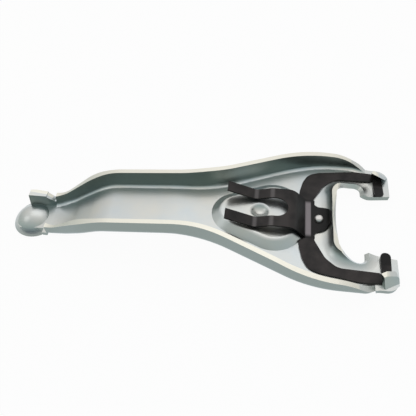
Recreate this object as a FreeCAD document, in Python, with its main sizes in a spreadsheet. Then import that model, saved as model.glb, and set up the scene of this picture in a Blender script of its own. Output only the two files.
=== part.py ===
"""Clutch release fork with its ball-stud clip and the clip's rivet, in millimetres.

The fork is one stamping of 4 mm steel, a channel whose two flanges stand up on +Z. The
pivot ball's centre is the origin. The two arms point along +X, and the cup for the push
rod is at the -X end. The clip lies on the web, and one rivet holds it.
"""
import FreeCAD, Part
import os
import Sketcher
from math import atan2, pi, sin, tan

doc = FreeCAD.newDocument("clutch_fork")

# ------------------------------------------------------------------ driving sizes
SIZES = [
    # the sheet
    ("gauge", 4.0),              # thickness of the fork's sheet
    ("flare", 8.0),              # outward lean of the flanges, degrees
    ("outer_bend", 7.0),         # outer radius of the bend at a flange's foot
    ("inner_bend", 3.0),         # inner radius of the same bend
    # levels of the web, from the ball's centre down
    ("seat_drop", 4.0),          # rim of the ball's seat, the top of the raised boss
    ("web_drop", 9.5),           # web of the head and the arms
    ("ramp_top_x", 130.0),       # upper end of the steep ramp, towards the push rod
    ("ramp_top_drop", 16.2),
    ("ramp_foot_x", 163.0),      # lower end of the ramp
    ("ramp_foot_drop", 35.3),
    ("tail_drop", 39.5),         # web at the very end
    ("knee_x", 68.0),            # where the level web turns down
    ("knee_round", 150.0),       # radii of the three turns in the web
    ("ramp_round", 45.0),
    # rim of the flanges: place along X and height, both seen from the side
    ("tail_rim_drop", 27.0),
    ("lug_rim_drop", 24.0),
    ("rim_foot_x", 168.0),
    ("rim_turn_x", 134.0),
    ("rim_turn_drop", 2.9),
    ("rim_peak_x", 46.0),
    ("rim_peak", 7.0),
    ("rim_head_x", 14.0),
    ("rim_head", 5.7),
    ("rim_fall_x", 66.0),
    ("rim_fall", 0.9),
    ("rim_end_x", 86.5),
    ("rim_round", 40.0),
    ("rim_long_round", 70.0),
    # plan of the flanges' outer faces, half widths at the head's lower face
    ("end_x", 209.0),
    ("tail_half", 19.4),
    ("ramp_foot_half", 21.6),
    ("widen_from_x", 165.0),
    ("arm_half", 27.3),
    ("widen_to_x", 140.0),
    ("waist_half", 26.0),
    ("waist_x", 44.0),
    ("head_half", 64.0),
    ("head_x", 40.0),
    ("head_round", 95.0),
    ("plan_round", 60.0),
    ("waist_round", 110.0),
    # crotch: an opening whose edge is rolled up
    ("roll_x", 45.5),            # where the web begins to roll up, on the axis
    ("roll_half", 47.8),         # the same beside the arms
    ("roll_end_x", 90.5),        # the same behind the two pads
    ("roll_round", 11.5),        # radius of the roll, upper face
    ("roll_corner", 23.0),       # corner radii of the line where the roll begins
    ("pad_corner", 15.8),
    ("lip_x", 64.7),             # the trimmed edge of the lip, at the web's lower level
    ("lip_half", 37.8),
    ("lip_end_x", 80.5),
    ("lip_level", 9.85),
    ("lip_bevel", 45.0),         # lean of the trimmed face, degrees
    ("lip_corner", 6.5),
    ("mouth_half", 29.3),        # half of the gap between the two tips
    # tips
    ("tip_x", 104.0),
    ("tip_half", 59.7),
    ("tip_corner", 9.0),
    ("tip_inner_corner", 4.0),
    ("ear_front_x", 93.0),       # ears that stand at the outer corners of the tips
    ("ear_drop", 2.6),
    # raised boss of the ball's seat
    ("boss_back_x", 38.0),       # foot of the boss, behind the ball and before it
    ("boss_front_x", 35.0),
    ("boss_back_half", 13.8),    # half widths of the same, before its corners are rounded
    ("boss_front_half", 47.6),
    ("boss_back_round", 21.4),
    ("boss_round", 23.9),
    ("boss_lean", 52.0),         # lean of the boss's side, degrees from upright
    ("boss_blend", 5.0),
    ("ball_radius", 8.0),        # the pivot ball and the hollow of its seat
    ("seat_lip_round", 2.2),
    # cup for the push rod
    ("cup_x", 191.8),
    ("cup_drop", 49.7),          # centre of the cup's sphere
    ("cup_trim_half", 13.0),     # the sheet ends inside the cup's flank on the -Y side
    ("cup_radius", 18.5),        # outside of the cup
    ("cup_hem_drop", 44.2),      # lower edge of the cup
    ("vent_diameter", 3.0),
    ("vent_tilt", 28.0),         # the vent's axis above the level, degrees
    ("end_plate_radius", 15.7),
    # front ends of the two flanges
    ("flange_front_x", 175.0),
    ("lug_front_x", 197.0),      # the short lug in front of the +Y flange
    ("lug_back_x", 182.5),
    ("notch_drop", 32.0),
    # clip
    ("clip_gauge", 1.2),
    ("bar_front_x", 41.0),
    ("bar_back_x", 36.3),
    ("plate_rise", 12.0),        # upper face of the clip's plate above the web
    ("plate_x", 26.0),           # back edge of the plate, where the riser starts down
    ("plate_from_x", 9.0),
    ("kink_x", 3.5),
    ("kink_rise", 8.5),
    ("prong_end_x", 26.5),
    ("prong_end_rise", 15.9),
    ("prong_outer", 19.3),
    ("slot_half", 9.4),
    ("slot_end_x", 12.3),
    ("clip_bend", 2.0),
    ("plate_bend", 12.0),        # the plate rolls over into the riser
    ("leg_root_half", 25.0),
    ("leg_root_x", 31.0),
    ("leg_outer_half", 56.0),
    ("leg_inner_half", 45.0),
    ("finger_front_x", 91.6),
    ("finger_back_x", 99.2),
    ("finger_end_half", 28.6),
    ("finger_rise", 2.0),        # free end of a finger above its pad
    ("tab_half", 12.6),
    ("tab_end_x", 55.2),
    # rivet
    ("rivet_x", 46.8),
    ("rivet_head", 7.6),
    ("rivet_shank", 4.2),
    ("rivet_head_rise", 2.8),
]

sheet = doc.addObject("Spreadsheet::Sheet", "Sizes")
for row, (alias, value) in enumerate(SIZES, start=1):
    sheet.set("A%d" % row, alias)
    sheet.set("B%d" % row, str(value))
    sheet.setAlias("B%d" % row, alias)
doc.recompute()


# ------------------------------------------------------------------ helpers
def cells(text):
    """An expression written with bare aliases, made to point at the sheet."""
    for alias in sorted((alias for alias, _ in SIZES), key=len, reverse=True):
        text = text.replace("<%s>" % alias, "Sizes.%s" % alias)
    return text


def number(text):
    """Present value of such an expression."""
    value = sheet.evalExpression(cells(text))
    return float(getattr(value, "Value", value))


def bind(target, prop, text):
    """Set a property from the sheet and keep it bound."""
    target.setExpression(prop, cells(text))


def opposite(text):
    """The same expression with its sign turned."""
    return "-(%s)" % text


def mirrored(half):
    """Corners of one half (+Y), in order, followed by their mirror images."""
    return half + [(along, opposite(across), turn) for along, across, turn in reversed(half)]


def lowered(line, depth):
    """Corners of a side line moved down its own normal by a depth."""
    slope = []
    for before, after in zip(line, line[1:]):
        slope.append("atan((%s - (%s)) / (%s - (%s)))" % (after[1], before[1], after[0], before[0]))
    moved = []
    for place, (along, height, turn) in enumerate(line):
        left = slope[max(place - 1, 0)]
        right = slope[min(place, len(slope) - 1)]
        middle = "(%s + %s) / 2" % (left, right)
        spread = "cos((%s - %s) / 2)" % (left, right)
        new_along = "%s + (%s) * sin(%s) / %s" % (along, depth, middle, spread)
        new_height = "%s - (%s) * cos(%s) / %s" % (height, depth, middle, spread)
        moved.append((new_along, new_height, turn))
    return moved


def outline(name, corners, plane="XY", level="0"):
    """A closed sketch of straight runs and tangent arcs, every corner bound to the sheet.

    A corner is (along, across, radius); an empty radius leaves it sharp. The plane is XY
    at a level, XZ for a side view, or YZ for a cross-section.
    """
    sketch = doc.addObject("Sketcher::SketchObject", name)
    upright = FreeCAD.Rotation(FreeCAD.Vector(1, 0, 0), 90)
    if plane == "XZ":
        sketch.Placement = FreeCAD.Placement(FreeCAD.Vector(), upright)
    elif plane == "YZ":
        turned = FreeCAD.Rotation(FreeCAD.Vector(0, 0, 1), 90).multiply(upright)
        sketch.Placement = FreeCAD.Placement(FreeCAD.Vector(), turned)
    else:
        bind(sketch, "Placement.Base.z", level)
    spots = [FreeCAD.Vector(number(along), number(across), 0) for along, across, _ in corners]
    count = len(corners)
    starts = []
    ends = []
    middles = []
    for place, (_, _, turn) in enumerate(corners):
        spot = spots[place]
        back = (spots[place - 1] - spot).normalize()
        ahead = (spots[(place + 1) % count] - spot).normalize()
        if not turn:
            starts.append(spot)
            ends.append(spot)
            middles.append(None)
            continue
        half = FreeCAD.Vector(back).getAngle(ahead) / 2
        radius = number(turn)
        reach = radius / tan(half)
        inward = (back + ahead).normalize()
        starts.append(spot + back * reach)
        ends.append(spot + ahead * reach)
        middles.append(spot + inward * (radius / sin(half)))
    lines = []
    for place in range(count):
        run = Part.LineSegment(ends[place], starts[(place + 1) % count])
        lines.append(sketch.addGeometry(run, False))
    rules = []
    names = []
    for place, (along, across, turn) in enumerate(corners):
        before = lines[place - 1]
        after = lines[place]
        if turn:
            centre = middles[place]
            turn_in = starts[place] - centre
            turn_out = ends[place] - centre
            first = turn_in.cross(turn_out).z > 0
            if not first:
                turn_in, turn_out = turn_out, turn_in
            circle = Part.Circle(centre, FreeCAD.Vector(0, 0, 1), turn_in.Length)
            from_angle = atan2(turn_in.y, turn_in.x)
            to_angle = atan2(turn_out.y, turn_out.x)
            if to_angle < from_angle:
                to_angle += 2 * pi
            arc = sketch.addGeometry(Part.ArcOfCircle(circle, from_angle, to_angle), False)
            mark = sketch.addGeometry(Part.Point(spots[place]), True)
            rules.append(Sketcher.Constraint("Tangent", before, 2, arc, 1 if first else 2))
            rules.append(Sketcher.Constraint("Tangent", after, 1, arc, 2 if first else 1))
            rules.append(Sketcher.Constraint("PointOnObject", mark, 1, before))
            rules.append(Sketcher.Constraint("PointOnObject", mark, 1, after))
            rules.append(Sketcher.Constraint("Radius", arc, turn_in.Length))
            names.append((len(rules) - 1, turn))
            anchor = mark
        else:
            rules.append(Sketcher.Constraint("Coincident", before, 2, after, 1))
            anchor = after
        rules.append(Sketcher.Constraint("DistanceX", -1, 1, anchor, 1, spots[place].x))
        names.append((len(rules) - 1, along))
        rules.append(Sketcher.Constraint("DistanceY", -1, 1, anchor, 1, spots[place].y))
        names.append((len(rules) - 1, across))
    sketch.addConstraint(rules)
    for place, text in names:
        bind(sketch, "Constraints[%d]" % place, text)
    return sketch


def prism(name, sketch, up="0", down="0", lean_up="0", lean_down="0", way=(0, 0, 1)):
    """A sketch drawn out both ways, its sides leaning outward by the given angles."""
    solid = doc.addObject("Part::Extrusion", name)
    solid.Base = sketch
    solid.DirMode = "Custom"
    solid.Dir = FreeCAD.Vector(*way)
    solid.Solid = True
    bind(solid, "LengthFwd", up)
    bind(solid, "LengthRev", down)
    bind(solid, "TaperAngle", lean_up)
    bind(solid, "TaperAngleRev", lean_down)
    return solid


def through(name, corners, half="<head_half> + 20"):
    """A side outline drawn across the whole width."""
    return prism(name, outline(name + "_side", corners, "XZ"), half, half, way=(0, 1, 0))


def box(name, low, high):
    """A box between two corners, both given as expressions."""
    solid = doc.addObject("Part::Box", name)
    for prop, first, last in zip(("Length", "Width", "Height"), low, high):
        bind(solid, prop, "(%s) - (%s)" % (last, first))
    for axis, first in zip("xyz", low):
        bind(solid, "Placement.Base." + axis, first)
    return solid


def sphere(name, radius, centre):
    """A full sphere."""
    solid = doc.addObject("Part::Sphere", name)
    bind(solid, "Radius", radius)
    for axis, place in zip("xyz", centre):
        bind(solid, "Placement.Base." + axis, place)
    return solid


def common(name, *solids):
    """What the solids share."""
    joined = doc.addObject("Part::MultiCommon", name)
    joined.Shapes = list(solids)
    return joined


def fuse(name, *solids):
    """The solids as one."""
    joined = doc.addObject("Part::MultiFuse", name)
    joined.Shapes = list(solids)
    joined.Refine = True
    return joined


def cut(name, base, tool):
    """One solid less another."""
    less = doc.addObject("Part::Cut", name)
    less.Base = base
    less.Tool = tool
    return less


def rounded(name, base, radius, wanted):
    """A fillet on each edge that the test picks."""
    doc.recompute()
    rounding = doc.addObject("Part::Fillet", name)
    rounding.Base = base
    value = number(radius)
    picked = wanted(base.Shape)
    rounding.Edges = [
        (place, value, value)
        for place, edge in enumerate(base.Shape.Edges, start=1)
        if any(edge.isSame(other) for other in picked)
    ]
    return rounding


# ------------------------------------------------------------------ lines of the stamping
WEB = [
    ("-<end_x> - 10", "-<tail_drop>", ""),
    ("-<ramp_foot_x>", "-<ramp_foot_drop>", "<ramp_round>"),
    ("-<ramp_top_x>", "-<ramp_top_drop>", "<ramp_round>"),
    ("-<knee_x>", "-<web_drop>", "<knee_round>"),
    ("<tip_x> + 10", "-<web_drop>", ""),
]
UNDER_TURNS = ["", "<ramp_round> + <gauge>", "<ramp_round> - <gauge>", "<knee_round> - <gauge>", ""]
UNDER = [
    (along, height, turn)
    for (along, height, _), turn in zip(lowered(WEB, "<gauge>"), UNDER_TURNS)
]
RIM = [
    ("<tip_x> + 10", "-<web_drop>", ""),
    ("<rim_end_x>", "-<web_drop>", ""),
    ("<rim_fall_x>", "<rim_fall>", "<rim_round>"),
    ("<rim_head_x>", "<rim_head>", "<rim_long_round>"),
    ("-<rim_peak_x>", "<rim_peak>", "<rim_long_round> * 2"),
    ("-<rim_turn_x>", "-<rim_turn_drop>", "<rim_long_round>"),
    ("-<rim_foot_x>", "-<tail_rim_drop>", "<rim_round> / 2"),
    ("-<flange_front_x>", "-<tail_rim_drop>", ""),
    ("-<lug_front_x>", "-<lug_rim_drop>", ""),
    ("-<end_x> - 10", "-<lug_rim_drop>", ""),
]
PLAN = [
    ("-<end_x>", "<tail_half>", "<tail_half> - 0.1"),
    ("-<widen_from_x>", "<ramp_foot_half>", "<plan_round>"),
    ("-<widen_to_x>", "<arm_half>", "<plan_round>"),
    ("-<waist_x>", "<waist_half>", "<waist_round>"),
    ("<head_x>", "<head_half>", "<head_round>"),
    ("<lip_end_x>", "<head_half>", "<tip_corner>"),
    ("<rim_end_x> + 2", "<tip_half>", "<tip_corner>"),
    ("<tip_x>", "<tip_half>", "<tip_corner>"),
]
INNER_LEVEL = "-<web_drop> - <gauge> + <gauge> / sin(<flare>)"
SKY = "<rim_peak> + 30"

# ------------------------------------------------------------------ channel
plan = outline("plan", mirrored(PLAN), level="-<web_drop> - <gauge>")
inner_plan = outline("inner_plan", mirrored(PLAN), level=INNER_LEVEL)
outer_block = prism("outer_block", plan, "<web_drop> + 20", "<tail_drop>", "<flare>", "-<flare>")
inner_block = prism("inner_block", inner_plan, "20", "<tail_drop> + 30", "<flare>", "-<flare>")
above_web = through("above_web", WEB + [("<tip_x> + 10", SKY, ""), ("-<end_x> - 10", SKY, "")])
above_under = through("above_under", UNDER + [("<tip_x> + 10", SKY, ""), ("-<end_x> - 10", SKY, "")])
GROUND = "-<tail_drop> - 20"
below_rim = through("below_rim", RIM + [("-<end_x> - 10", GROUND, ""), ("<tip_x> + 10", GROUND, "")])
stock = common("stock", outer_block, above_under)
far_zone = box("far_zone", ("-<lug_front_x>", "0", GROUND), ("<rim_end_x> + 1", "90", SKY))
near_zone = box("near_zone", ("-<flange_front_x>", "-90", GROUND), ("<rim_end_x> + 1", "0", SKY))
far_part = common("far_part", stock, far_zone)
near_part = common("near_part", stock, near_zone)
rest = cut("rest", cut("rest_near", stock, far_zone), near_zone)
lug_zone = box("lug_zone", ("-<lug_front_x>", "0", GROUND), ("-<flange_front_x>", "90", SKY))
arm_zone = box("arm_zone", ("-<flange_front_x>", "0", GROUND), ("<rim_end_x> + 1", "90", SKY))
lug_hollow = common("lug_hollow", inner_block, above_web, lug_zone)
far_hollow = common("far_hollow", inner_block, above_web, arm_zone)
near_hollow = common("near_hollow", inner_block, above_web, near_zone)
doc.recompute()


def foot_edges(shape):
    """Edges along the foot of a flange: a steep wall meets the floor of the shape."""
    found = []
    for edge in shape.Edges:
        middle = edge.valueAt((edge.FirstParameter + edge.LastParameter) / 2)
        if abs(middle.y) < number("<end_plate_radius> - 3") or edge.BoundBox.XLength < 0.5:
            continue
        faces = shape.ancestorsOfType(edge, Part.Face)
        tilts = sorted(face.normalAt(*face.Surface.parameter(middle)).z for face in faces)
        if len(tilts) == 2 and tilts[0] < -0.6 and -0.6 < tilts[1] < 0.6:
            found.append(edge)
    return found


far_bent = rounded("far_bent", far_part, "<outer_bend>", foot_edges)
near_bent = rounded("near_bent", near_part, "<outer_bend>", foot_edges)
far_hollow_bent = rounded("far_hollow_bent", far_hollow, "<inner_bend>", foot_edges)
near_hollow_bent = rounded("near_hollow_bent", near_hollow, "<inner_bend>", foot_edges)
front_box = box("front_box", ("-<end_x> - 10", "-90", GROUND), ("-<flange_front_x>", "0", SKY))
far_front_box = box("far_front_box", ("-<end_x> - 10", "-1", GROUND), ("-<lug_front_x>", "90", SKY))
front_cut = common("front_cut", above_web, fuse("front_boxes", front_box, far_front_box))
notch = through("notch", [
    ("-<lug_back_x>", "-<tail_rim_drop> + 20", ""),
    ("-<lug_back_x>", "-<tail_rim_drop>", ""),
    ("-<flange_front_x> - 1.2", "-<notch_drop>", "1"),
    ("-<flange_front_x>", "-<notch_drop>", ""),
    ("-<flange_front_x>", "-<tail_rim_drop> + 20", ""),
])
shell = fuse("shell", far_bent, near_bent, rest)
trimmed = common("trimmed", shell, below_rim)
near_trim = box(
    "near_trim",
    ("-<end_x> - 10", "-90", GROUND),
    ("-<flange_front_x> - 4", "-<cup_trim_half>", SKY))
hollows = fuse("hollows", near_trim, far_hollow_bent, lug_hollow, near_hollow_bent, front_cut, notch)
channel = cut("channel", trimmed, hollows)

# ------------------------------------------------------------------ crotch and its rolled lip
roll_half = [
    ("<roll_x>", "<roll_half>", "<roll_corner>"),
    ("<roll_end_x>", "<roll_half>", "<pad_corner>"),
]
roll_plan = outline("roll_plan", mirrored(roll_half), level="-<web_drop> - <gauge> - 20")
roll_hole = prism("roll_hole", roll_plan, "60")
ring_path = outline("ring_path", mirrored(roll_half), level="-<web_drop>")
doc.recompute()


def rolled_ring(name, inside, outside, reach):
    """A ring that curls up from the web round the crotch, between two radii of the roll.

    The section is an arc about a centre above the web, swept along the line where the
    roll begins.
    """
    centre = FreeCAD.Vector(number("<roll_x>"), 0, number("-<web_drop> + <roll_round>"))

    def at(radius, angle):
        turned = angle * pi / 180
        return centre + FreeCAD.Vector(radius * sin(turned), 0, -radius * sin(pi / 2 - turned))

    inner = number(inside)
    outer = number(outside)
    turn = number(reach)
    section = Part.Wire([
        Part.LineSegment(at(inner, 0), at(outer, 0)).toShape(),
        Part.Arc(at(outer, 0), at(outer, turn / 2), at(outer, turn)).toShape(),
        Part.LineSegment(at(outer, turn), at(inner, turn)).toShape(),
        Part.Arc(at(inner, turn), at(inner, turn / 2), at(inner, 0)).toShape(),
    ])
    runs = Part.sortEdges(ring_path.Shape.Edges)[0]
    first = [place for place, run in enumerate(runs) if abs(run.CenterOfMass.y) < 0.01
             and run.CenterOfMass.x < number("<roll_x>") + 1][0]
    split = runs[first:] + runs[:first]
    start = split[0]
    halfway = FreeCAD.Vector(number("<roll_x>"), 0, number("-<web_drop>"))
    lead = Part.LineSegment(halfway, start.valueAt(start.LastParameter)).toShape()
    tail = Part.LineSegment(start.valueAt(start.FirstParameter), halfway).toShape()
    if start.Orientation == "Reversed":
        lead, tail = (Part.LineSegment(halfway, start.valueAt(start.FirstParameter)).toShape(),
                      Part.LineSegment(start.valueAt(start.LastParameter), halfway).toShape())
    spine = Part.Wire(Part.sortEdges([lead] + split[1:] + [tail])[0])
    ring = doc.addObject("Part::Feature", name)
    ring.Shape = spine.makePipeShell([section], True, False)
    return ring


ring = rolled_ring("ring", "<roll_round>", "<roll_round> + <gauge>", "74")
lip_half = [
    ("<lip_x> - 0.3", "<lip_half> * 0.21", "60"),
    ("<lip_x> + 2.9", "<lip_half> * 0.58", "25"),
    ("<lip_x> + 6.8", "<lip_half>", "<lip_corner>"),
    ("<lip_end_x>", "<lip_half>", "<tip_inner_corner> - 0.3"),
]
lip_plan = outline("lip_plan", mirrored(lip_half), level="-<lip_level>")
lip_cutter = prism("lip_cutter", lip_plan, "<roll_round> + 6", "0", "<lip_bevel>")
lip_core = prism("lip_core", lip_plan, "0", "20")
mouth_plan = outline("mouth_plan", mirrored([
    ("<lip_end_x> - 6", "<mouth_half>", ""),
    ("<rim_end_x>", "<mouth_half>", ""),
    ("<tip_x> + 10", "<mouth_half> + 3.8", ""),
]), level="-<web_drop> - <gauge> - 20")
mouth = prism("mouth", mouth_plan, "60")
lipped = fuse("lipped", cut("opened", channel, roll_hole), ring)
crotched = cut("crotched", lipped, fuse("crotch_cut", lip_cutter, lip_core, mouth))
doc.recompute()

# ------------------------------------------------------------------ boss with the ball's seat
BOSS = mirrored([
    ("-<boss_back_x>", "<boss_back_half>", "<boss_back_round>"),
    ("<boss_front_x>", "<boss_front_half>", "<boss_round>"),
])
BOSS_RISE = "<web_drop> - <seat_drop>"
boss_plan = outline("boss_plan", BOSS, level="-<web_drop>")
boss_top = prism("boss_top", boss_plan, BOSS_RISE, "0", "-<boss_lean>")
boss_core = prism("boss_core", boss_plan, "0", "<gauge>")
under_plan = outline("under_plan", BOSS, level="-<web_drop> - <gauge>")
boss_under = prism("boss_under", under_plan, BOSS_RISE, "0", "-<boss_lean>")
doc.recompute()
boss_crown = rounded("boss_crown", boss_top, "<boss_blend>", lambda shape: [
    edge for edge in shape.Edges
    if abs(edge.BoundBox.ZMin + number("<seat_drop>")) < 0.01
    and abs(edge.BoundBox.ZMax + number("<seat_drop>")) < 0.01
])
seat_bulge = common(
    "seat_bulge",
    sphere("seat_outside", "<ball_radius> + <gauge>", ("0", "0", "0")),
    box("seat_half", ("-20", "-20", "-20"), ("20", "20", "-<seat_drop> - 1")))
ball = sphere("ball", "<ball_radius>", ("0", "0", "0"))

# ------------------------------------------------------------------ cup for the push rod
CUP = ("-<cup_x>", "0", "-<cup_drop>")
cup_shell = common("cup_shell", sphere("cup_outside", "<cup_radius>", CUP), box(
    "cup_half",
    ("-<end_x> - 9", "-<cup_radius> - 1", "-<cup_hem_drop>"),
    ("-<flange_front_x> + 9", "<cup_radius> + 1", "-<cup_drop> + <cup_radius> + 1")))
cup_inside = sphere("cup_inside", "<cup_radius> - <gauge>", CUP)
vent = doc.addObject("Part::Cylinder", "vent")
bind(vent, "Radius", "<vent_diameter> / 2")
bind(vent, "Height", "<cup_radius> + 6")
for axis, place in zip("xyz", CUP):
    bind(vent, "Placement.Base." + axis, place)
vent.Placement.Rotation = FreeCAD.Rotation(FreeCAD.Vector(0, 1, 0), -90 + number("<vent_tilt>"))

# ------------------------------------------------------------------ ears that guard the clip
ear_plan = outline("ear_plan", [
    ("<ear_front_x> + 1", "<tip_half> + 0.8", ""),
    ("<tip_x> + 0.5", "<tip_half> - 5.7", ""),
    ("<tip_x> - 1.4", "<tip_half> - 8.9", ""),
    ("<ear_front_x> - 0.9", "<tip_half> - 2.4", ""),
], level="-<web_drop> - 1.5")
ear_slope = through("ear_slope", [
    ("<ear_front_x> - 4", "-<web_drop> - 2", ""),
    ("<ear_front_x> - 4", "-<ear_drop>", ""),
    ("<ear_front_x> + 1", "-<ear_drop>", "2"),
    ("<tip_x> - 2.5", "-<web_drop> + 4.6", "2"),
    ("<tip_x> + 3", "-<web_drop> + 0.5", ""),
    ("<tip_x> + 3", "-<web_drop> - 2", ""),
])
far_ear = common("far_ear", prism("far_ear_bar", ear_plan, "18", way=(-0.2, -0.62, 0.76)), ear_slope)
near_ear = doc.addObject("Part::Mirroring", "near_ear")
near_ear.Source = far_ear
near_ear.Normal = FreeCAD.Vector(0, 1, 0)

# ------------------------------------------------------------------ the finished stamping
embossed = cut("embossed", fuse("boss_on", crotched, boss_crown, boss_core), boss_under)
bulged = fuse("bulged", embossed, seat_bulge, cup_shell)
seated = cut("seated", bulged, fuse("hollow_spheres", ball, cup_inside, vent))
eared = fuse("eared", seated, far_ear, near_ear)
shank = doc.addObject("Part::Cylinder", "shank")
bind(shank, "Radius", "<rivet_shank> / 2")
bind(shank, "Height", "<gauge> + <clip_gauge> + 2")
bind(shank, "Placement.Base.x", "<rivet_x>")
bind(shank, "Placement.Base.z", "-<web_drop> - <gauge> - 0.8")
pierced = cut("pierced", eared, shank)


def seat_rim(shape):
    """The round edge where the ball's hollow opens in the top of the boss."""
    level = number("-<seat_drop>")
    return [
        edge for edge in shape.Edges
        if abs(edge.BoundBox.ZMin - level) < 0.02 and abs(edge.BoundBox.ZMax - level) < 0.02
        and max(abs(edge.BoundBox.XMin), abs(edge.BoundBox.XMax)) < number("<ball_radius>")
        and max(abs(edge.BoundBox.YMin), abs(edge.BoundBox.YMax)) < number("<ball_radius>")
    ]


fork_body = rounded("fork_body", pierced, "<seat_lip_round>", seat_rim)
fork_body.Label = "fork_body"
doc.recompute()

# ------------------------------------------------------------------ clip
CLIP_LINE = [
    ("-<prong_end_x>", "-<web_drop> + <prong_end_rise>", ""),
    ("-<kink_x>", "-<web_drop> + <kink_rise>", "<clip_bend> + 3"),
    ("<plate_from_x>", "-<web_drop> + <plate_rise>", "<clip_bend> + 6"),
    ("<plate_x>", "-<web_drop> + <plate_rise>", "<plate_bend>"),
    ("<bar_back_x>", "-<web_drop> + <clip_gauge>", "<clip_bend>"),
    ("<bar_front_x> + 2.5", "-<web_drop> + <clip_gauge>", ""),
]
strip = through("strip", CLIP_LINE + list(reversed(lowered(CLIP_LINE, "<clip_gauge>"))))
strip_plan = outline("strip_plan", mirrored([
    ("-<prong_end_x> - 5", "<prong_outer>", ""),
    ("<bar_front_x> + 2.5", "<prong_outer>", ""),
]), level="-20")
slot_plan = outline("slot_plan", mirrored([
    ("-<prong_end_x> - 9", "<slot_half>", ""),
    ("<slot_end_x> + <slot_half>", "<slot_half>", "<slot_half> - 0.05"),
]), level="-20")
spring_part = cut(
    "spring_part",
    common("spring_strip", strip, prism("strip_block", strip_plan, "60")),
    prism("slot", slot_plan, "60"))
legs_plan = outline("legs_plan", [
    ("<bar_back_x> + 1", "<leg_root_half> - 7", ""),
    ("<leg_root_x>", "<leg_root_half> - 2.5", "1.5"),
    ("<leg_root_x> + 0.5", "<leg_root_half> + 4", "5"),
    ("<bar_back_x> - 2.5", "<leg_root_half> + 14", "12"),
    ("<bar_back_x> + 2", "<leg_outer_half> - 8", "12"),
    ("<bar_front_x> + 6", "<leg_outer_half> - 4.6", "16"),
    ("<lip_end_x> - 4", "<leg_outer_half>", "20"),
    ("<finger_back_x> - 1", "<leg_outer_half> - 1.5", "5"),
    ("<finger_back_x>", "<leg_outer_half> - 8", ""),
    ("<finger_front_x>", "<leg_outer_half> - 8", ""),
    ("<finger_front_x> - 1", "<leg_inner_half> + 1", "1.5"),
    ("<bar_front_x> + 19", "<leg_inner_half>", "12"),
    ("<bar_front_x> + 10", "<leg_inner_half> - 8", "12"),
    ("<bar_front_x> + 1.5", "<leg_root_half> - 5", "6"),
    ("<bar_front_x> + 2.5", "<leg_root_half> - 12", ""),
    ("<bar_back_x> + 1", "<leg_root_half> - 12", ""),
], level="-<web_drop>")
far_leg = prism("far_leg", legs_plan, "<clip_gauge>")
finger_side = outline("finger_side", [
    ("<leg_outer_half> - 7.9", "-<web_drop>", ""),
    ("<leg_outer_half> - 7.9", "-<web_drop> + <clip_gauge>", ""),
    ("<leg_outer_half> - 11", "-<web_drop> + <clip_gauge>", "3"),
    ("<finger_end_half>", "-<web_drop> + <finger_rise> + <clip_gauge>", ""),
    ("<finger_end_half>", "-<web_drop> + <finger_rise>", ""),
    ("<leg_outer_half> - 11", "-<web_drop>", "3"),
], "YZ")
finger_plan = outline("finger_plan", [
    ("<finger_front_x>", "<leg_outer_half> - 7.9", ""),
    ("<finger_back_x>", "<leg_outer_half> - 7.9", ""),
    ("<finger_back_x>", "<finger_end_half>", "3.5"),
    ("<finger_front_x>", "<finger_end_half>", "3.5"),
], level="-20")
far_finger = common(
    "far_finger",
    prism("finger_strip", finger_side, "120", way=(1, 0, 0)),
    prism("finger_block", finger_plan, "60"))
leg_pair = fuse("far_limb", far_leg, far_finger)
near_limb = doc.addObject("Part::Mirroring", "near_limb")
near_limb.Source = leg_pair
near_limb.Normal = FreeCAD.Vector(0, 1, 0)
tab_ring = rolled_ring("tab_ring", "<roll_round> - <clip_gauge>", "<roll_round>", "60")
tab_plan = outline("tab_plan", mirrored([
    ("<bar_front_x> - 1", "<tab_half> + 5", ""),
    ("<bar_front_x> + 5", "<tab_half>", "5"),
    ("<tab_end_x>", "<tab_half> - 1", "<tab_half> * 0.75"),
]), level="-20")
tab_block = prism("tab_block", tab_plan, "60")
bar_tongue = common("bar_tongue", tab_block, box(
    "tongue_slab",
    ("<bar_front_x> - 1", "-<tab_half> - 6", "-<web_drop>"),
    ("<roll_x> + 0.01", "<tab_half> + 6", "-<web_drop> + <clip_gauge>")))
tab = common("tab", tab_ring, tab_block)
clip_raw = fuse("clip_raw", spring_part, leg_pair, near_limb, tab, bar_tongue)
retaining_spring = cut("retaining_spring", clip_raw, fuse("clip_tools", shank, fork_body))
retaining_spring.Label = "retaining_spring"
doc.recompute()

# ------------------------------------------------------------------ rivet
HEAD_FOOT = "-<web_drop> + <clip_gauge> - 0.2"
HEAD_TOP = "-<web_drop> + <clip_gauge> + <rivet_head_rise>"
head_side = outline("head_side", [
    ("<rivet_x>", HEAD_FOOT, ""),
    ("<rivet_x> + <rivet_head> / 2", HEAD_FOOT, ""),
    ("<rivet_x> + <rivet_head> / 2", HEAD_TOP, "<rivet_head_rise> - 0.2"),
    ("<rivet_x>", HEAD_TOP, ""),
], "XZ")
head = doc.addObject("Part::Revolution", "head")
head.Source = head_side
head.Axis = FreeCAD.Vector(0, 0, 1)
bind(head, "Base.x", "<rivet_x>")
head.Angle = 360
head.Solid = True
closed_head = doc.addObject("Part::Cylinder", "closed_head")
bind(closed_head, "Radius", "<rivet_head> / 2 - 0.3")
bind(closed_head, "Height", "1.3")
bind(closed_head, "Placement.Base.x", "<rivet_x>")
bind(closed_head, "Placement.Base.z", "-<web_drop> - <gauge> - 1.3")
rivet_raw = fuse("rivet_raw", head, shank, closed_head)
doc.recompute()
spring_rivet = cut("spring_rivet", cut("rivet_clear", rivet_raw, retaining_spring), fork_body)
spring_rivet.Label = "spring_rivet"
doc.recompute()

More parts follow.
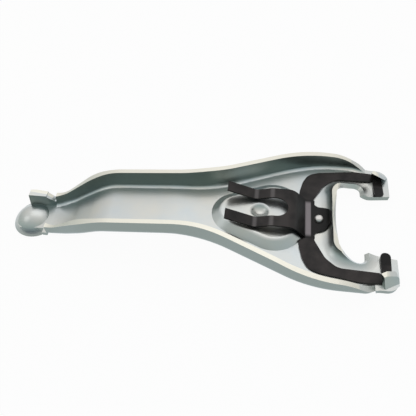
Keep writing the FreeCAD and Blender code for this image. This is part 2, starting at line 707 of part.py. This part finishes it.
# ------------------------------------------------------------------ check and export
for item in doc.Objects:
    if any(word in item.State for word in ("Invalid", "Error")):
        raise RuntimeError("%s did not build" % item.Name)
os.makedirs("parts", exist_ok=True)
for piece in (fork_body, retaining_spring, spring_rivet):
    if piece.Shape.isNull() or not piece.Shape.isValid() or len(piece.Shape.Solids) != 1:
        raise RuntimeError("%s is not one sound solid" % piece.Label)
    piece.Shape.exportStep("parts/%s.step" % piece.Label)
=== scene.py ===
import math

import bpy
from mathutils import Matrix, Vector


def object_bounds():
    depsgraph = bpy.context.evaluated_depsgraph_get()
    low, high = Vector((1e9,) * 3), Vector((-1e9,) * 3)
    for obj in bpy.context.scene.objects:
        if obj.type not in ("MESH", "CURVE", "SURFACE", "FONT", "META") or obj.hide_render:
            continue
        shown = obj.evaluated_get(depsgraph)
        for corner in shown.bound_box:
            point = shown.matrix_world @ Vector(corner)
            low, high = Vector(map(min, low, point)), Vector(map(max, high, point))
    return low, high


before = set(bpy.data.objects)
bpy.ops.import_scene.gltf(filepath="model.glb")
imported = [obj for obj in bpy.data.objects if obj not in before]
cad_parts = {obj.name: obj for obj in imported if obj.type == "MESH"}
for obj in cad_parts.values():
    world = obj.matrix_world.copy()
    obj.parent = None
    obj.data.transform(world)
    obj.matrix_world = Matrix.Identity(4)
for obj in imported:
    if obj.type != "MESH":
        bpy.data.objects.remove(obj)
cad_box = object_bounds()
scene = bpy.context.scene
scene.view_settings.view_transform = "Standard"


# ---------------------------------------------------------------- fork: zinc-plated steel
# One stamping of sheet steel, sheared, drawn and pressed, then plated with bright zinc. The
# web is a cool silver, the steep walls of the flanges carry a painted shade, darker and
# greener, in place of dark reflections, and the sheared edges are a warm off-white.
def new_material(name):
    """An empty node material with a Principled shader, and handles to its tree and shader."""
    material = bpy.data.materials.new(name)
    material.use_nodes = True
    tree = material.node_tree
    return material, tree, tree.nodes["Principled BSDF"]


def reckon(tree, operation, first, second):
    """A Math node on two sources, of which either may be a plain number."""
    node = tree.nodes.new("ShaderNodeMath")
    node.operation = operation
    for socket, value in zip(node.inputs, (first, second)):
        if isinstance(value, (int, float)):
            socket.default_value = value
        else:
            tree.links.new(value, socket)
    return node.outputs["Value"]


def unsigned(tree, source):
    """A source without its sign."""
    return reckon(tree, "ABSOLUTE", source, 0.0)


def product(tree, first, *others):
    """Several sources multiplied."""
    for other in others:
        first = reckon(tree, "MULTIPLY", first, other)
    return first


def rise(tree, source, low, high):
    """Nought below low, one above high, and smooth between."""
    node = tree.nodes.new("ShaderNodeMapRange")
    node.interpolation_type = "SMOOTHSTEP"
    node.inputs["From Min"].default_value = low
    node.inputs["From Max"].default_value = high
    tree.links.new(source, node.inputs["Value"])
    return node.outputs["Result"]


def fall(tree, source, low, high):
    """One below low, nought above high, and smooth between."""
    return reckon(tree, "SUBTRACT", 1.0, rise(tree, source, low, high))


def noise(tree, scale, detail, stretch=(1, 1, 1)):
    """A noise on Object coordinates, in metres, drawn out along chosen axes."""
    place = tree.nodes.new("ShaderNodeTexCoord")
    mapping = tree.nodes.new("ShaderNodeMapping")
    mapping.inputs["Scale"].default_value = stretch
    texture = tree.nodes.new("ShaderNodeTexNoise")
    texture.inputs["Scale"].default_value = scale
    texture.inputs["Detail"].default_value = detail
    tree.links.new(place.outputs["Object"], mapping.inputs["Vector"])
    tree.links.new(mapping.outputs["Vector"], texture.inputs["Vector"])
    return texture.outputs["Fac"]


def ramp(tree, source, stops):
    """Colours along a source, from a list of places and colours."""
    node = tree.nodes.new("ShaderNodeValToRGB")
    bar = node.color_ramp.elements
    while len(bar) < len(stops):
        bar.new(0.5)
    for stop, (place, colour) in zip(bar, stops):
        stop.position = place
        stop.color = (*colour, 1)
    tree.links.new(source, node.inputs["Fac"])
    return node.outputs["Color"]


def levels(tree, source, stops):
    """Plain values along a source, from a list of places and values."""
    return ramp(tree, source, [(place, (level, level, level)) for place, level in stops])


def blend(tree, share, under, over):
    """The second colour over the first, by a share."""
    node = tree.nodes.new("ShaderNodeMix")
    node.data_type = "RGBA"
    tree.links.new(share, node.inputs["Factor"])
    for socket, colour in ((node.inputs["A"], under), (node.inputs["B"], over)):
        if isinstance(colour, tuple):
            socket.default_value = (*colour, 1)
        else:
            tree.links.new(colour, socket)
    return node.outputs["Result"]


def relief(tree, shader, source, distance, strength):
    """Fine unevenness from a source."""
    node = tree.nodes.new("ShaderNodeBump")
    node.inputs["Distance"].default_value = distance
    node.inputs["Strength"].default_value = strength
    tree.links.new(source, node.inputs["Height"])
    tree.links.new(node.outputs["Normal"], shader.inputs["Normal"])


def spot_and_facing(tree):
    """Where a point of the piece lies and which way it faces, each split in X, Y and Z."""
    where = tree.nodes.new("ShaderNodeTexCoord")
    spot = tree.nodes.new("ShaderNodeSeparateXYZ")
    facing = tree.nodes.new("ShaderNodeSeparateXYZ")
    tree.links.new(where.outputs["Object"], spot.inputs["Vector"])
    tree.links.new(where.outputs["Normal"], facing.inputs["Vector"])
    return spot.outputs, facing.outputs


def dress(node, material):
    """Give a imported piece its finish."""
    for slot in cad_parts[node].material_slots:
        slot.material = material


silver_blue = (0.58, 0.62, 0.63)
silver_warm = (0.66, 0.65, 0.60)
# painted shade: the colour of the flanges' steep walls, darker and greener, standing in for dark
# reflections
painted_wall_shade = (0.27, 0.315, 0.295)
edge_coat = (0.80, 0.78, 0.69)
zinc_sheen = (0.9, 0.95, 1.0, 1)
patch_scale = 28.0
grain_scale = 900.0
grain_stretch = (0.25, 1, 1)
grain_depth = 0.00002
grain_strength = 0.06
zinc_rough = ((0.3, 0.285), (0.75, 0.34))

# the web's height along the arm, from its end to the knee, in shares of the run and the rise
arm_end = -0.209
arm_run = 0.141
web_low = -0.0395
web_high = -0.0095
web_turns = ((0.0, 0.0), (0.326, 0.14), (0.56, 0.777), (1.0, 1.0))

# a sheared edge lies well above the web, off the cup's dome, and faces up
edge_height = (0.0060, 0.0068)
cup_until = (-0.176, -0.175)
dome_half = (0.0152, 0.0156)
edge_facing = (0.55, 0.7)
wall_facing = (0.2, 0.75)

zinc, tree, shader = new_material("fork_steel")
spot, facing = spot_and_facing(tree)
along = reckon(tree, "DIVIDE", reckon(tree, "SUBTRACT", spot["X"], arm_end), arm_run)
climb = product(tree, levels(tree, along, web_turns), web_high - web_low)
above_web = reckon(tree, "SUBTRACT", spot["Z"], reckon(tree, "ADD", climb, web_low))
past_cup = rise(tree, spot["X"], *cup_until)
beside_dome = rise(tree, unsigned(tree, spot["Y"]), *dome_half)
off_dome = reckon(tree, "MAXIMUM", past_cup, beside_dome)
on_top = rise(tree, facing["Z"], *edge_facing)
sheared = product(tree, rise(tree, above_web, *edge_height), off_dome, on_top)
# painted shade: the steeper a face, the more it takes the darker, greener wall colour
wall_shade_mask = fall(tree, unsigned(tree, facing["Z"]), *wall_facing)
broad = noise(tree, patch_scale, detail=3.0)
fine = noise(tree, grain_scale, detail=4.0, stretch=grain_stretch)
silver = ramp(tree, broad, [(0.35, silver_blue), (0.68, silver_warm)])
zinc_and_painted_shade = blend(tree, sheared, blend(tree, wall_shade_mask, silver, painted_wall_shade), edge_coat)
tree.links.new(zinc_and_painted_shade, shader.inputs["Base Color"])
tree.links.new(levels(tree, fine, zinc_rough), shader.inputs["Roughness"])
shader.inputs["Metallic"].default_value = 1.0
shader.inputs["Specular Tint"].default_value = zinc_sheen
relief(tree, shader, fine, grain_depth, grain_strength)
dress("fork_body", zinc)

# ---------------------------------------------------------------- clip: blackened spring steel
# A strip of spring steel, cut and bent, hardened and oil-blackened: near black and satin,
# with a warm cast where the oil has dried. The upward faces of the bar and the prongs' bends
# carry a painted sheen, and the riser, the tab and the fingers' ends a painted jet-black shade.
oiled_dark = (0.010, 0.009, 0.009)
oiled_warm = (0.032, 0.027, 0.026)
# painted light: a jet-black painted shade, then a painted sheen for the bar and one for the
# prongs' bends, and the shares of that shade and of the bend sheen
painted_black_shade = (0.004, 0.004, 0.004)
painted_bar_sheen = (0.20, 0.18, 0.19)
painted_bend_sheen = (0.13, 0.12, 0.12)
painted_shade_share = 0.85
bend_sheen_share = 0.6
black_metal = 0.6
oil_scale = 70.0
mottle_scale = 1500.0
mottle_depth = 0.00002
mottle_strength = 0.3
black_rough = ((0.3, 0.29), (0.7, 0.38))

# where each painted sheen and painted shade starts and ends: in X from the pivot ball, as a half
# width, or in height
prong_bends = (-0.0035, 0.0090)
bend_half = (0.0006, 0.0026)
prong_height = (-0.003, -0.002)
upper_facing = (0.5, 0.9)
bar_half = 0.019
bar_from = (0.0353, 0.0367)
bar_until = (0.0400, 0.0410)
bar_side = (bar_half - 0.004, bar_half)
riser_from = (0.0275, 0.0295)
riser_side = (bar_half, bar_half + 0.0015)
tab_from = (0.0405, 0.0420)
finger_from = (0.0895, 0.0905)
finger_side = (0.0380, 0.0400)

black, tree, shader = new_material("spring_steel")
spot, facing = spot_and_facing(tree)
aside = unsigned(tree, spot["Y"])
upper = rise(tree, facing["Z"], *upper_facing)
oil = noise(tree, oil_scale, detail=4.0)
oil_and_painted_light = ramp(tree, oil, [(0.35, oiled_dark), (0.65, oiled_warm)])
# painted sheen: the upward faces near each of the prongs' bends are made lighter
for bend in prong_bends:
    off_bend = unsigned(tree, reckon(tree, "SUBTRACT", spot["X"], bend))
    on_prong = rise(tree, spot["Z"], *prong_height)
    bend_sheen_mask = product(tree, fall(tree, off_bend, *bend_half), on_prong, upper)
    oil_and_painted_light = blend(tree, product(tree, bend_sheen_mask, bend_sheen_share), oil_and_painted_light, painted_bend_sheen)
in_middle = fall(tree, aside, *bar_side)
on_tab = product(tree, in_middle, rise(tree, spot["X"], *tab_from))
on_riser = product(tree, rise(tree, spot["X"], *riser_from), fall(tree, aside, *riser_side))
on_finger = product(tree, rise(tree, spot["X"], *finger_from), fall(tree, aside, *finger_side))
# painted shade: the riser, the tab and the fingers' ends are turned near jet black
painted_shade_mask = reckon(tree, "MAXIMUM", reckon(tree, "MAXIMUM", on_tab, on_riser), on_finger)
oil_and_painted_light = blend(tree, product(tree, painted_shade_mask, painted_shade_share), oil_and_painted_light, painted_black_shade)
# painted sheen: the upward face of the bar is made lighter
along_bar = product(tree, rise(tree, spot["X"], *bar_from), fall(tree, spot["X"], *bar_until))
oil_and_painted_light = blend(tree, product(tree, along_bar, in_middle, upper), oil_and_painted_light, painted_bar_sheen)
mottle = noise(tree, mottle_scale, detail=3.0)
tree.links.new(oil_and_painted_light, shader.inputs["Base Color"])
tree.links.new(levels(tree, mottle, black_rough), shader.inputs["Roughness"])
shader.inputs["Metallic"].default_value = black_metal
relief(tree, shader, mottle, mottle_depth, mottle_strength)
dress("retaining_spring", black)

# ---------------------------------------------------------------- rivet: bright steel
# A plain round-headed steel rivet, left bright. It goes through the clip's tab and the web,
# and is closed below.
rivet_tone = (0.62, 0.60, 0.58, 1)
rivet_rough = 0.3

bright, tree, shader = new_material("rivet_steel")
shader.inputs["Metallic"].default_value = 1.0
shader.inputs["Base Color"].default_value = rivet_tone
shader.inputs["Roughness"].default_value = rivet_rough
dress("spring_rivet", bright)

# ---------------------------------------------------------------- floor
# A plain pale floor just under the cup's hem and the two tips, which carry the part. It is
# white to the eye and in metal, and keeps a faint shadow.
paper_tone = (0.8, 0.8, 0.8, 1)
paper_rough = 0.9
paper_glow = 0.95
cup_foot = Vector((-0.1741, 0, cad_box[0][2]))
tip_foot = Vector((0.104, 0, -0.0135))
air = 0.0003
reach = 3.0

run = (tip_foot - cup_foot).normalized()
across = Vector((0, 1, 0))
floor_up = run.cross(across)
middle = (cup_foot + tip_foot) / 2 - floor_up * air
signs = ((-1, -1), (1, -1), (1, 1), (-1, 1))
corners = [middle + run * ahead * reach + across * beside * reach for ahead, beside in signs]
mesh = bpy.data.meshes.new("floor")
mesh.from_pydata(corners, [], [(0, 1, 2, 3)])
floor = bpy.data.objects.new("floor", mesh)
scene.collection.objects.link(floor)


def mix_into(tree, output, share, under, over):
    """The second shader over the first, by a share, as what an output shows."""
    mix = tree.nodes.new("ShaderNodeMixShader")
    tree.links.new(share, mix.inputs["Fac"])
    tree.links.new(under, mix.inputs[1])
    tree.links.new(over, mix.inputs[2])
    tree.links.new(mix.outputs["Shader"], tree.nodes[output].inputs["Surface"])


paper, tree, shader = new_material("floor_paper")
shader.inputs["Base Color"].default_value = paper_tone
shader.inputs["Roughness"].default_value = paper_rough
shader.inputs["Specular IOR Level"].default_value = 0.0
glow = tree.nodes.new("ShaderNodeEmission")
glow.inputs["Color"].default_value = (1, 1, 1, 1)
path = tree.nodes.new("ShaderNodeLightPath").outputs
mirrored = reckon(tree, "MAXIMUM", path["Is Glossy Ray"], path["Is Transmission Ray"])
seen = reckon(tree, "MAXIMUM", path["Is Camera Ray"], mirrored)
glow_share = product(tree, seen, paper_glow)
mix_into(tree, "Material Output", glow_share, shader.outputs["BSDF"], glow.outputs["Emission"])
mesh.materials.append(paper)

# ---------------------------------------------------------------- room
# A tall pale room: white all round to the eye. As light and in metal it is pale above and
# behind the part, and dim low down on the near side.
lean_on_depth = 0.9
lean_low = -1.0
lean_high = 1.3
tones = (
    (0.10, (0.07, 0.10, 0.15)),
    (0.36, (0.44, 0.54, 0.53)),
    (0.62, (0.56, 0.60, 0.59)),
    (0.92, (0.86, 0.86, 0.86)),
)

world = bpy.data.worlds.new("room")
scene.world = world
world.use_nodes = True
tree = world.node_tree
place = tree.nodes.new("ShaderNodeTexCoord")
split = tree.nodes.new("ShaderNodeSeparateXYZ")
tree.links.new(place.outputs["Generated"], split.inputs["Vector"])
lean = reckon(tree, "ADD", split.outputs["Z"], product(tree, split.outputs["Y"], lean_on_depth))
height = tree.nodes.new("ShaderNodeMapRange")
height.inputs["From Min"].default_value = lean_low
height.inputs["From Max"].default_value = lean_high
tree.links.new(lean, height.inputs["Value"])
graded = tree.nodes["Background"]
tree.links.new(ramp(tree, height.outputs["Result"], tones), graded.inputs["Color"])
white = tree.nodes.new("ShaderNodeBackground")
white.inputs["Color"].default_value = (1, 1, 1, 1)
to_eye = tree.nodes.new("ShaderNodeLightPath").outputs["Is Camera Ray"]
mix_into(tree, "World Output", to_eye, graded.outputs["Background"], white.outputs["Background"])


# ---------------------------------------------------------------- lamps
# One broad softbox above and behind, and a small one high on the left, both faint beside the
# light of the room.
def softbox(name, spot, aim, width, height, watts):
    """An area lamp at a spot, turned to face an aim."""
    lamp = bpy.data.lights.new(name, "AREA")
    lamp.shape = "RECTANGLE"
    lamp.size = width
    lamp.size_y = height
    lamp.energy = watts
    item = bpy.data.objects.new(name, lamp)
    item.location = spot
    item.rotation_euler = (Vector(aim) - Vector(spot)).to_track_quat("-Z", "Y").to_euler()
    scene.collection.objects.link(item)


softbox("overhead", spot=(-0.1, 0.45, 0.9), aim=(-0.03, 0, 0), width=1.0, height=0.6, watts=0.8)
softbox("left", spot=(-0.8, -0.1, 0.7), aim=(-0.1, 0, 0), width=0.4, height=0.4, watts=0.25)

# ---------------------------------------------------------------- camera
# Near and high, with the part seen from its open side and the arm running left. The heading
# is turned from +Y, the dip is below level, and the sensor and the lens are in millimetres.
heading = math.radians(6.82)
dip = math.radians(49.23)
stand = (-0.0065, -0.2896, 0.3315)
sensor = 36.0
lens = 48.46

onward = Vector((-math.sin(heading), math.cos(heading), 0))
right = Vector((math.cos(heading), math.sin(heading), 0))
forward = onward * math.cos(dip) - Vector((0, 0, math.sin(dip)))
upward = right.cross(forward)
camera_data = bpy.data.cameras.new("camera")
camera_data.sensor_width = sensor
camera_data.lens = lens
camera_data.clip_start = 0.01
camera = bpy.data.objects.new("camera", camera_data)
turned = Matrix((right, upward, -forward)).transposed().to_4x4()
camera.matrix_world = Matrix.Translation(stand) @ turned
scene.collection.objects.link(camera)
scene.camera = camera
